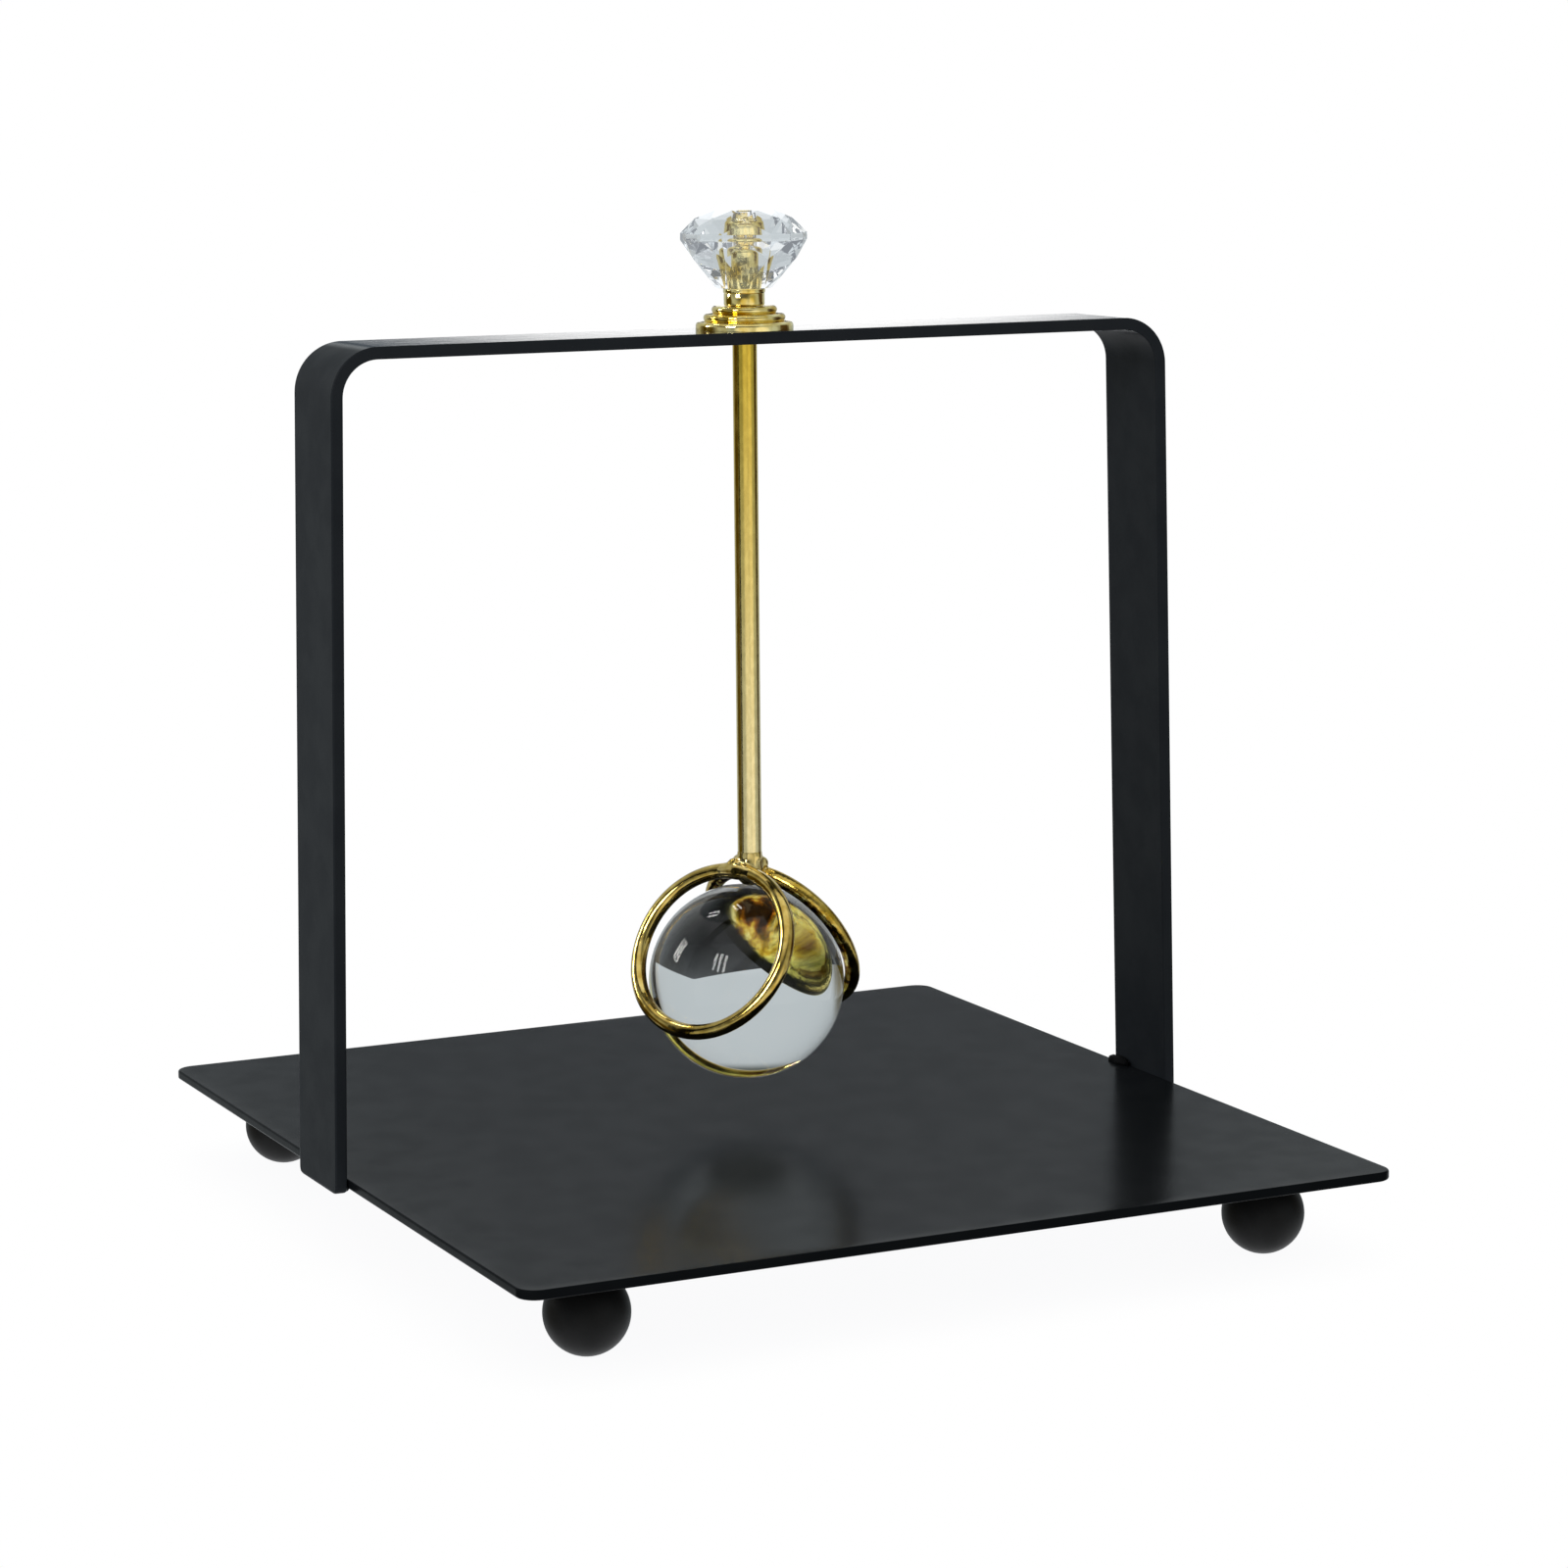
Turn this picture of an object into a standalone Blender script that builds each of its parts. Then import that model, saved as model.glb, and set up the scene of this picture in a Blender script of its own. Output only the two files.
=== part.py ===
"""Weighted napkin holder: a steel base on ball feet, a flat-bar arch and a lifting weight.

Napkins lie on the base plate. A rod slides and turns in a hole at the top of the arch; a crystal
knob lifts it from above, and a crystal ball in two brazed wire rings weighs the napkins down.

Units are metres. X runs across the arch, Y from front to back and Z up. The origin is on the
surface the feet stand on, under the middle of the plate, on the axis of the rod.
"""
import math

import bmesh
import bpy
from mathutils import Matrix, Vector

MM = 0.001
GAP = 0.3 * MM  # clearance between two solids that touch on the real object

# Base plate and feet
PLATE_WIDTH = 188 * MM
PLATE_DEPTH = 202 * MM
PLATE_THICKNESS = 2 * MM
PLATE_TOP = 19 * MM
PLATE_CORNER = 4 * MM
PLATE_EDGE = 0.35 * MM
BED_MARGIN = 3.5 * MM  # from the plate's edge in to its flat bed
EDGE_ROLL = 0.06 * MM  # how far shearing has rolled the top down between the bed and the edge
FOOT_RADIUS = 8.4 * MM
FOOT_FLAT = 2 * MM  # radius of the worn flat that each foot stands on
# Middle of each foot on the plate; they were welded on by eye
FOOT_PLACES = {
    "front_left": (-74 * MM, -83 * MM),
    "front_right": (75.2 * MM, -81.2 * MM),
    "rear_left": (-75.4 * MM, 81.4 * MM),
    "rear_right": (74.6 * MM, 82 * MM),
}

# Arch of flat bar
BAR_WIDTH = 21.3 * MM
BAR_THICKNESS = 2.5 * MM
BAR_EDGE = 0.4 * MM
ARCH_TOP = 184 * MM
LEG_BOTTOM = 16.2 * MM
LEG_LEAN = 3.4 * MM  # how far each leg leans inwards from the plate to the top
BEND_RADIUS = 8.75 * MM  # to the middle of the bar's thickness
LEG_CORNER = 1.5 * MM

# Lifting rod and knob
ROD_RADIUS = 2.5 * MM
ROD_HOLE_RADIUS = 3 * MM
ROD_BOTTOM = 76 * MM
ROD_TOP = 190.9 * MM
FLANGE_RADII = (10 * MM, 8.4 * MM, 6.7 * MM)  # three rounded steps, widest first
FLANGE_STEP = 1.5 * MM
FERRULE_RADIUS = 4.3 * MM
SPIGOT_RADIUS = 2.8 * MM  # the ferrule's upper end, inside the crystal
FERRULE_TOP = 202.6 * MM
STUD_RADIUS = 1.7 * MM
STUD_BOTTOM = 194 * MM
STUD_TOP = 204.8 * MM

# Faceted crystal of the knob: radius and height of its rings of corners
CRYSTAL_FACETS = 8
TABLE = (6.3 * MM, 208.3 * MM)
SHOULDER = (10.0 * MM, 206.5 * MM)
GIRDLE_UPPER = (12.95 * MM, 203.6 * MM)
GIRDLE_LOWER = (12.95 * MM, 202.2 * MM)
PAVILION = (11.4 * MM, 198.6 * MM)
CULET = (5.7 * MM, 192.4 * MM)

# Ball and the two wire rings that hold it. The rings are brazed by hand, so neither is square to
# the rod: each has its centre, the direction that it faces and how far it looks up, in degrees.
BALL_RADIUS = 20.45 * MM
BALL_CENTRE = Vector((-0.55, 1.05, 48)) * MM
WIRE_RADIUS = 1.6 * MM
RING_RADIUS = 17.83 * MM
FRONT_RING = (Vector((-11.2, -4.95, 56.5)) * MM, 209.7, 30.7)
REAR_RING = (Vector((10.3, 6.3, 55.75)) * MM, 23.1, 31.7)
JOINT_TOP = ROD_BOTTOM - GAP
JOINT_BOTTOM = 69.9 * MM

COARSE = 24  # sides of a small round piece
FINE = 40  # sides of a large round piece


def clear_scene():
    for old in list(bpy.data.objects):
        bpy.data.objects.remove(old)


def material(name, colour, roughness, metallic):
    mat = bpy.data.materials.new(name)
    mat.use_nodes = True
    shader = mat.node_tree.nodes["Principled BSDF"]
    shader.inputs["Base Color"].default_value = (*colour, 1)
    shader.inputs["Roughness"].default_value = roughness
    shader.inputs["Metallic"].default_value = metallic
    return mat


def black_paint(name):
    return material(name, (0.030, 0.033, 0.036), 0.42, 0.0)


def gold(name):
    return material(name, (0.80, 0.58, 0.20), 0.16, 1.0)


def crystal(name):
    return material(name, (0.86, 0.90, 0.92), 0.02, 0.0)


def add_object(name, bm, mat, parent=None, location=(0, 0, 0), smooth=30):
    """Make an object from a bmesh whose points are relative to the given location."""
    bmesh.ops.recalc_face_normals(bm, faces=bm.faces)
    mesh = bpy.data.meshes.new(name)
    bm.to_mesh(mesh)
    bm.free()
    mesh.materials.append(mat)
    if smooth:
        mesh.shade_smooth()
        mesh.set_sharp_from_angle(angle=math.radians(smooth))
    obj = bpy.data.objects.new(name, mesh)
    bpy.context.collection.objects.link(obj)
    obj.parent = parent
    obj.location = location
    return obj


def add_axis(name, location, parent=None):
    empty = bpy.data.objects.new(name, None)
    bpy.context.collection.objects.link(empty)
    empty.parent = parent
    empty.location = location
    return empty


def add_bevel(obj, width, segments=2, angle=40):
    bevel = obj.modifiers.new("edges", "BEVEL")
    bevel.width = width
    bevel.segments = segments
    bevel.limit_method = "ANGLE"
    bevel.angle_limit = math.radians(angle)


def cut(obj, cutter):
    """Take the cutter away from the object; the cutter itself isn't part of the model."""
    cutter.hide_render = True
    cutter.display_type = "WIRE"
    difference = obj.modifiers.new("cut", "BOOLEAN")
    difference.operation = "DIFFERENCE"
    difference.solver = "EXACT"
    difference.object = cutter


def arc(centre, radius, start, end, steps):
    """Points (radius, height) along an arc; angles in degrees, from +X towards +Z."""
    points = []
    for i in range(steps + 1):
        angle = math.radians(start + (end - start) * i / steps)
        points.append((centre[0] + radius * math.cos(angle), centre[1] + radius * math.sin(angle)))
    return points


def turned(profile, sides):
    """Spin a profile of (radius, height) points round Z, closing it if it is off the axis."""
    bm = bmesh.new()
    verts = [bm.verts.new((r, 0, z)) for r, z in profile]
    edges = [bm.edges.new(pair) for pair in zip(verts, verts[1:])]
    if profile[0][0] > 1e-6:
        edges.append(bm.edges.new((verts[-1], verts[0])))
    bmesh.ops.spin(bm, geom=verts + edges, axis=(0, 0, 1), cent=(0, 0, 0),
                   steps=sides, angle=2 * math.pi)
    bmesh.ops.remove_doubles(bm, verts=bm.verts, dist=1e-6)
    return bm


def cylinder(radius, bottom, top, sides=COARSE):
    return turned([(0, bottom), (radius, bottom), (radius, top), (0, top)], sides)


def rounded_rectangle(width, depth, radius, steps):
    points = []
    for quarter, (sx, sy) in enumerate(((1, 1), (-1, 1), (-1, -1), (1, -1))):
        centre = (sx * (width / 2 - radius), sy * (depth / 2 - radius))
        points += arc(centre, radius, 90 * quarter, 90 * quarter + 90, steps)
    return points


# ---------------------------------------------------------------- frame

def base_plate():
    bm = bmesh.new()
    outline = rounded_rectangle(PLATE_WIDTH, PLATE_DEPTH, PLATE_CORNER, 6)
    face = bm.faces.new([bm.verts.new((x, y, 0)) for x, y in outline])
    sides = bmesh.ops.extrude_face_region(bm, geom=[face])
    raised = [v for v in sides["geom"] if isinstance(v, bmesh.types.BMVert)]
    bmesh.ops.translate(bm, verts=raised, vec=(0, 0, PLATE_THICKNESS))
    top = [f for f in sides["geom"] if isinstance(f, bmesh.types.BMFace)]
    bmesh.ops.inset_individual(bm, faces=top, thickness=BED_MARGIN)
    bmesh.ops.translate(bm, verts=raised, vec=(0, 0, -EDGE_ROLL))
    plate = add_object("base_plate", bm, black_paint("plate_paint"),
                       location=(0, 0, PLATE_TOP - PLATE_THICKNESS))
    add_bevel(plate, PLATE_EDGE, angle=60)


def leg_line():
    """The middle line of the right leg: its point level with the plate's top, and its slope."""
    foot = Vector((PLATE_WIDTH / 2 + GAP + BAR_THICKNESS / 2, PLATE_TOP))
    rise = ARCH_TOP - BAR_THICKNESS / 2 - PLATE_TOP
    return foot, math.atan2(LEG_LEAN, rise)


def arch_section_rows(steps=8):
    """(outer, inner) pairs in the XZ plane from the right leg's foot to the left leg's foot."""
    foot, lean = leg_line()
    along = Vector((-math.sin(lean), math.cos(lean)))
    inward = Vector((-math.cos(lean), -math.sin(lean)))
    half = BAR_THICKNESS / 2
    bottom = foot + along * ((LEG_BOTTOM - foot.y) / along.y)
    centre_z = ARCH_TOP - half - BEND_RADIUS
    start = foot + inward * BEND_RADIUS
    centre = start + along * ((centre_z - start.y) / along.y)
    right = [(bottom - inward * half, bottom + inward * half)]
    lean_degrees = math.degrees(lean)
    outer = arc(centre, BEND_RADIUS + half, lean_degrees, 90, steps)
    inner = arc(centre, BEND_RADIUS - half, lean_degrees, 90, steps)
    right += [(Vector(a), Vector(b)) for a, b in zip(outer, inner)]
    left = [(Vector((-a.x, a.y)), Vector((-b.x, b.y))) for a, b in reversed(right)]
    return right + left


def round_leg_corners(bm):
    """Round the corners of the bar's two sawn ends."""
    ends = []
    for edge in bm.edges:
        a, b = (v.co for v in edge.verts)
        if max(a.z, b.z) < PLATE_TOP and abs(a.y - b.y) < 1e-6:
            ends.append(edge)
    bmesh.ops.bevel(bm, geom=ends, offset=LEG_CORNER, segments=3, profile=0.5, affect="EDGES")


def arch_bar():
    bm = bmesh.new()
    rows = []
    for outer, inner in arch_section_rows():
        corners = ((outer, -1), (outer, 1), (inner, 1), (inner, -1))
        rows.append([bm.verts.new((p.x, side * BAR_WIDTH / 2, p.y)) for p, side in corners])
    for a, b in zip(rows, rows[1:]):
        for i in range(4):
            j = (i + 1) % 4
            bm.faces.new((a[i], a[j], b[j], b[i]))
    bm.faces.new(rows[0])
    bm.faces.new(rows[-1])
    round_leg_corners(bm)
    bar = add_object("arch_bar", bm, black_paint("arch_paint"))
    add_bevel(bar, BAR_EDGE)
    reach = 4 * BAR_THICKNESS
    hole = cylinder(ROD_HOLE_RADIUS, ARCH_TOP - reach, ARCH_TOP + reach, 32)
    cut(bar, add_object("rod_hole_cutter", hole, black_paint("cutter")))


def leg_weld(side, name):
    """Weld bead under the plate, in the corner that it makes with the leg."""
    size = 1.6 * MM
    top = PLATE_TOP - PLATE_THICKNESS - GAP
    corner = Vector((PLATE_WIDTH / 2, top))
    length = BAR_WIDTH - 3 * MM
    bead = [corner, corner + Vector((-size, 0))]
    bulge = arc(corner, size, 180, 270, 5)
    bead += [Vector(p) for p in bulge[1:-1]]
    bead.append(corner + Vector((0, -size)))
    bm = bmesh.new()
    face = bm.faces.new([bm.verts.new((side * p.x, -length / 2, p.y)) for p in bead])
    sides = bmesh.ops.extrude_face_region(bm, geom=[face])
    moved = [v for v in sides["geom"] if isinstance(v, bmesh.types.BMVert)]
    bmesh.ops.translate(bm, verts=moved, vec=(0, length, 0))
    add_object(name, bm, black_paint("leg_weld_paint"))


def tack_weld(side, name):
    """Short bead of weld on the plate's top, at the rear end of the leg's inner face."""
    half_length = 3.8 * MM
    half_width = 1.3 * MM
    height = 1.2 * MM
    dome = turned([(0, 0)] + arc((0, 0), 1, 0, 90, 4), 12)
    bmesh.ops.scale(dome, verts=dome.verts, vec=(half_width, half_length, height))
    bmesh.ops.remove_doubles(dome, verts=dome.verts, dist=1e-6)
    centre = (side * (PLATE_WIDTH / 2 - half_width - GAP / 2), BAR_WIDTH / 2 - half_length,
              PLATE_TOP + GAP)
    add_object(name, dome, black_paint("tack_paint"), location=centre)


def foot_centre_height():
    return math.sqrt(FOOT_RADIUS ** 2 - FOOT_FLAT ** 2)


def foot(name, x, y):
    """Turned ball with a small flat to stand on."""
    height = foot_centre_height()
    start = -math.degrees(math.asin(height / FOOT_RADIUS))
    ball = arc((0, height), FOOT_RADIUS, start, 90, 12)
    profile = [(0, 0)] + ball[:-1] + [(0, ball[-1][1])]
    add_object("foot_" + name, turned(profile, COARSE), black_paint("foot_paint"),
               location=(x, y, 0))


def foot_weld(name, x, y):
    """Ring of weld between the top of the foot and the underside of the plate."""
    height = foot_centre_height()
    top = PLATE_TOP - PLATE_THICKNESS - GAP
    seat = FOOT_RADIUS + GAP
    inner, outer = 2.2 * MM, 4.2 * MM
    flare = 0.7 * MM

    def on_seat(radius):
        return (radius, height + math.sqrt(seat ** 2 - radius ** 2))

    profile = [on_seat(inner), on_seat((inner + outer) / 2), on_seat(outer)]
    profile += [(outer + 0.2 * flare, top - 0.4 * flare), (outer + flare, top), (inner, top)]
    add_object("foot_weld_" + name, turned(profile, COARSE), black_paint("foot_weld_paint"),
               location=(x, y, 0))


# ---------------------------------------------------------------- lifting weight

def lift_rod(parent):
    profile = [(0, ROD_BOTTOM), (ROD_RADIUS, ROD_BOTTOM), (ROD_RADIUS, ROD_TOP), (0, ROD_TOP)]
    local = [(r, z - ARCH_TOP) for r, z in profile]
    add_object("lift_rod", turned(local, COARSE), gold("rod_gold"), parent)


def knob_flange(parent):
    """Washer-like foot of the knob: three rounded steps, resting on the arch."""
    hole = ROD_RADIUS + GAP
    profile = [(hole, GAP)]
    bottom = GAP
    for radius in FLANGE_RADII:
        half = FLANGE_STEP / 2
        profile += arc((radius - half, bottom + half), half, -90, 90, 6)
        bottom += FLANGE_STEP
    profile.append((hole, bottom))
    bm = turned(profile, 32)
    add_object("knob_flange", bm, gold("flange_gold"), parent)


def flange_top():
    return GAP + FLANGE_STEP * len(FLANGE_RADII)


def knob_ferrule(parent):
    """Neck under the crystal, with a spigot inside it; bored for the rod and for the stud."""
    bottom = flange_top() + GAP
    shoulder = CULET[1] - ARCH_TOP - GAP
    top = FERRULE_TOP - ARCH_TOP
    rod_bore = (ROD_RADIUS + GAP, ROD_TOP - ARCH_TOP + GAP)
    stud_bore = (STUD_RADIUS + GAP, STUD_BOTTOM - ARCH_TOP - GAP)
    edge = 0.3 * MM
    profile = [(0, rod_bore[1]), rod_bore, (rod_bore[0], bottom)]
    profile += [(FERRULE_RADIUS, bottom), (FERRULE_RADIUS, shoulder - edge)]
    profile += [(FERRULE_RADIUS - edge, shoulder), (SPIGOT_RADIUS, shoulder)]
    profile += [(SPIGOT_RADIUS, top - edge), (SPIGOT_RADIUS - edge, top)]
    profile += [(stud_bore[0], top), stud_bore, (0, stud_bore[1])]
    add_object("knob_ferrule", turned(profile, COARSE), gold("ferrule_gold"), parent)


def knob_stud(parent):
    bm = cylinder(STUD_RADIUS, STUD_BOTTOM - ARCH_TOP, STUD_TOP - ARCH_TOP)
    add_object("knob_stud", bm, gold("stud_gold"), parent)


def facet_ring(bm, ring, count, turn):
    """Corners of one ring of the cut crystal, turned by a fraction of a facet."""
    radius, height = ring
    for i in range(count):
        angle = 2 * math.pi * (i + turn) / count
        bm.verts.new((radius * math.cos(angle), radius * math.sin(angle), height - ARCH_TOP))


def knob_crystal(parent):
    """Cut crystal: table, crown, girdle and blunt pavilion, bored for the spigot and stud."""
    bm = bmesh.new()
    facet_ring(bm, TABLE, CRYSTAL_FACETS, 0)
    facet_ring(bm, SHOULDER, CRYSTAL_FACETS, 0.5)
    facet_ring(bm, GIRDLE_UPPER, 2 * CRYSTAL_FACETS, 0)
    facet_ring(bm, GIRDLE_LOWER, 2 * CRYSTAL_FACETS, 0)
    facet_ring(bm, PAVILION, CRYSTAL_FACETS, 0)
    facet_ring(bm, CULET, CRYSTAL_FACETS, 0.5)
    hull = bmesh.ops.convex_hull(bm, input=bm.verts)
    bmesh.ops.delete(bm, geom=hull["geom_interior"], context="VERTS")
    knob = add_object("knob_crystal", bm, crystal("knob_crystal_glass"), parent, smooth=0)
    bottom = CULET[1] - ARCH_TOP
    bores = ((SPIGOT_RADIUS + GAP, FERRULE_TOP), (STUD_RADIUS + GAP, STUD_TOP))
    for i, (radius, top) in enumerate(bores):
        bore = cylinder(radius, bottom - 5 * MM, top - ARCH_TOP + GAP)
        cut(knob, add_object(f"knob_bore_cutter_{i}", bore, gold("cutter"), parent))


def ring_placement(centre, facing, looking_up):
    """Matrix that takes a ring lying flat round Z to its place beside the ball."""
    turn = Matrix.Rotation(math.radians(facing), 4, "Z")
    turn @= Matrix.Rotation(math.radians(90 - looking_up), 4, "Y")
    return Matrix.Translation(centre - Vector((0, 0, ARCH_TOP))) @ turn


def wire_ring(name, placement, wire_radius, parent, sides=10):
    """Ring of round wire, with its own origin at its centre."""
    section = arc((RING_RADIUS, 0), wire_radius, 0, 360, sides)[:-1]
    ring = add_object(name, turned(section, FINE), gold("ring_gold"), parent, smooth=60)
    ring.matrix_local = placement
    return ring


def braze_joint(parent, placements):
    """Brazing that fills the fork between the two rings and joins them to the rod's end."""
    tops = [place @ Vector((-RING_RADIUS, 0, 0)) for place in placements]
    sides = [place.to_3x3() @ Vector((0, 1, 0)) for place in placements]
    base = JOINT_BOTTOM - ARCH_TOP
    crown = JOINT_TOP - ARCH_TOP
    bm = bmesh.new()
    for i in range(12):
        angle = 2 * math.pi * i / 12
        across = Vector((math.cos(angle), math.sin(angle), 0))
        bm.verts.new(across * (ROD_RADIUS + 0.3 * MM) + Vector((0, 0, crown)))
        bm.verts.new(across * (ROD_RADIUS + 0.5 * MM) + Vector((0, 0, crown - 1.2 * MM)))
    for top, side in zip(tops, sides):
        outward = Vector((top.x, top.y, 0)).normalized() * 0.9 * MM
        for reach in (-4 * MM, 4 * MM):
            bm.verts.new(top + side * reach + Vector((0, 0, 1.2 * MM)) + outward * 0.2)
            bm.verts.new(top + side * reach * 0.8 + Vector((0, 0, base - top.z)) - outward)
    hull = bmesh.ops.convex_hull(bm, input=bm.verts)
    bmesh.ops.delete(bm, geom=hull["geom_interior"], context="VERTS")
    joint = add_object("ring_braze_joint", bm, gold("braze_gold"), parent, smooth=50)
    for i, place in enumerate(placements):
        cut(joint, wire_ring(f"ring_cutter_{i}", place, WIRE_RADIUS + GAP, parent))


def crystal_ball(parent):
    profile = arc((0, 0), BALL_RADIUS, -90, 90, 20)
    profile[0] = (0, -BALL_RADIUS)
    profile[-1] = (0, BALL_RADIUS)
    add_object("crystal_ball", turned(profile, FINE), crystal("ball_glass"), parent,
               location=BALL_CENTRE - Vector((0, 0, ARCH_TOP)), smooth=60)


def build():
    clear_scene()
    base_plate()
    arch_bar()
    for side, name in ((-1, "left"), (1, "right")):
        leg_weld(side, name + "_leg_weld")
        tack_weld(side, name + "_leg_tack")
    for corner, (x, y) in FOOT_PLACES.items():
        foot(corner, x, y)
        foot_weld(corner, x, y)

    lift_axis = add_axis("lift_axis", (0, 0, ARCH_TOP))
    turn_axis = add_axis("turn_axis", (0, 0, 0), lift_axis)
    knob_flange(lift_axis)
    lift_rod(turn_axis)
    knob_ferrule(turn_axis)
    knob_stud(turn_axis)
    knob_crystal(turn_axis)
    placements = [ring_placement(*FRONT_RING), ring_placement(*REAR_RING)]
    wire_ring("ring_front", placements[0], WIRE_RADIUS, turn_axis)
    wire_ring("ring_rear", placements[1], WIRE_RADIUS, turn_axis)
    braze_joint(turn_axis, placements)
    crystal_ball(turn_axis)


build()
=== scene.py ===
"""Looks of the weighted napkin holder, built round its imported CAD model.

Every piece is in metres in the CAD model's own frame: X across the arch, Y from front to back and
Z up, with the rod on the Z axis and the feet standing on z = 0.
"""
import math

import bmesh
import bpy
from mathutils import Matrix, Vector, noise

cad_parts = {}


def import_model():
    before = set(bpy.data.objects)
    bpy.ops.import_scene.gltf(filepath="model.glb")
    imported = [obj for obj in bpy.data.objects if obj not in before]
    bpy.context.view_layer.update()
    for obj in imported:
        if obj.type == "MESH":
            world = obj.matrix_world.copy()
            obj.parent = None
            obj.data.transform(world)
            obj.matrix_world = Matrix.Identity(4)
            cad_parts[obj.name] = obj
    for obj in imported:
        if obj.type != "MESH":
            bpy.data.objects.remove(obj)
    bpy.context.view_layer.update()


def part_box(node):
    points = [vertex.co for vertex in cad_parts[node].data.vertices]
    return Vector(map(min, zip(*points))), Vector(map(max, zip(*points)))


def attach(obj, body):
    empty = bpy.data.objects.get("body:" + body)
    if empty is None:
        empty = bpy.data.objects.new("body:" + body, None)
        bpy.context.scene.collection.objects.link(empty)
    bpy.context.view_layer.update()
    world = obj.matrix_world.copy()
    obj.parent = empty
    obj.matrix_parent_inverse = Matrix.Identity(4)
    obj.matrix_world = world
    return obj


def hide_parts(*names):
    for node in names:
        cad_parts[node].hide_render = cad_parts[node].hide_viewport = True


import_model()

MM = 0.001
TOUCH = 0.02 * MM  # gap or overlap of two pieces that touch, too small to be seen
GAP = 0.3 * MM  # gap between two touching solids of the CAD model
SAME_POINT = 0.001 * MM  # points closer than this are one point
# Sockets of a Mix node set to colours: its two inputs and its output
MIX_FIRST, MIX_SECOND, MIXED = 6, 7, 2

# Camera: where it stands and which way it looks, in metres and degrees
CAMERA_AT = (-0.3828, -0.8063, 0.2383)
CAMERA_YAW = -25.863
CAMERA_PITCH = -9.449
CAMERA_ROLL = -0.493
CAMERA_LENS = 100

# Plate and feet
PLATE_LOW, PLATE_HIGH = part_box("base_plate")
PLATE_CORNER = 4 * MM
PLATE_EDGE = 0.45 * MM
BED_MARGIN = 3.5 * MM
EDGE_ROLL = 0.06 * MM
FOOT_FLAT = 2 * MM  # radius of the flat that a foot stands on
FOOT_NECK = 4.4 * MM
FOOT_FLARE = 4.9 * MM

# Arch
ARCH_LOW, ARCH_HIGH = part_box("arch_bar")
BAR_WIDTH = ARCH_HIGH.y - ARCH_LOW.y
BAR_THICKNESS = 2.5 * MM
BAR_EDGE = 0.4 * MM
LEG_LEAN = 3.4 * MM
BEND_RADIUS = 8.75 * MM
LEG_CORNER = 1.5 * MM
ROD_HOLE_RADIUS = 3 * MM
HOLE_CHAMFER = 0.25 * MM

# Rod and knob
ROD_LOW, ROD_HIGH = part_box("lift_rod")
ROD_RADIUS = (ROD_HIGH.x - ROD_LOW.x) / 2
FLANGE_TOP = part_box("knob_flange")[1].z
FLANGE_RADII = (10 * MM, 8.4 * MM, 6.7 * MM)
FERRULE_LOW, FERRULE_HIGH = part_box("knob_ferrule")
FERRULE_RADIUS = (FERRULE_HIGH.x - FERRULE_LOW.x) / 2
SPIGOT_RADIUS = 2.8 * MM
SPIGOT_ROUNDING = 0.9 * MM
STUD_LOW, STUD_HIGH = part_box("knob_stud")
STUD_RADIUS = (STUD_HIGH.x - STUD_LOW.x) / 2
THREAD_PITCH = 0.7 * MM
CRYSTAL_LOW, CRYSTAL_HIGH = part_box("knob_crystal")
CRYSTAL_FACETS = 8
FACET_EDGE = 0.09 * MM
# Rings of the crystal's corners: radius and depth below its table
SHOULDER = (10.0 * MM, 1.8 * MM)
GIRDLE_DEPTHS = (4.7 * MM, 6.1 * MM)
PAVILION = (11.4 * MM, 9.7 * MM)
TABLE_RADIUS = 6.3 * MM
CULET_RADIUS = 5.7 * MM

# Ball, rings and their joint
BALL_LOW, BALL_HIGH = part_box("crystal_ball")
BALL_CENTRE = (BALL_LOW + BALL_HIGH) / 2
BALL_RADIUS = (BALL_HIGH.z - BALL_LOW.z) / 2
WIRE_RADIUS = 1.6 * MM
RING_RADIUS = 17.83 * MM
# Each ring's centre, the direction that it faces and how far it looks up, in degrees
FRONT_RING = (Vector((-11.2, -4.95, 56.5)) * MM, 209.7, 30.7)
REAR_RING = (Vector((10.3, 6.3, 55.75)) * MM, 23.1, 31.7)
# Where the rear ring's ends meet, in degrees round it, how far round they swell and how much
SEAM_ANGLE = 52
SEAM_SPREAD = 18
SEAM_SWELLING = 0.28 * MM
SWIRL_TURN = 46 * MM  # height at which the swirled tones on the rear ring, with their painted highlights, turn from green to brown
JOINT_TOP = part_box("ring_braze_joint")[1].z
# Lobes of the brazing round the rod's end: place and radius in millimetres
BRAZE_LOBES = (
    (-3.4, 0.5, 73.0, 1.5),
    (-1.1, -1.2, 73.3, 1.45),
    (0.6, -1.6, 74.6, 1.25),
    (2.5, -0.5, 73.0, 1.5),
    (1.9, 2.0, 72.9, 1.9),
    (-1.6, 1.6, 73.4, 1.6),
)

# Where the studio is dark or bright, as the object sees it. Each patch has its azimuth from the
# camera round to the camera's left, its elevation, the half-widths of its core and of its blurred
# edge, all in degrees, and its colour. Later patches lie over earlier ones, and the last ones show
# in reflections only.
ROOM = (0.50, 0.545, 0.56)
PATCHES = (
    (20, 48, 34, 60, (0.12, 0.13, 0.14)),
    (0, -12, 10, 30, (0.95, 0.95, 0.92)),
    (-42, -8, 8, 24, (1.05, 1.03, 0.98)),
    (0, 80, 24, 46, (0.98, 1.02, 1.05)),
    (180, 62, 15, 30, (0.06, 0.07, 0.055)),
    (0, -90, 50, 78, (1.1, 1.12, 1.15)),
    (98, -8, 16, 34, (0.085, 0.06, 0.0)),
    (-108, 6, 10, 26, (0.08, 0.05, 0.02)),
)
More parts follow.
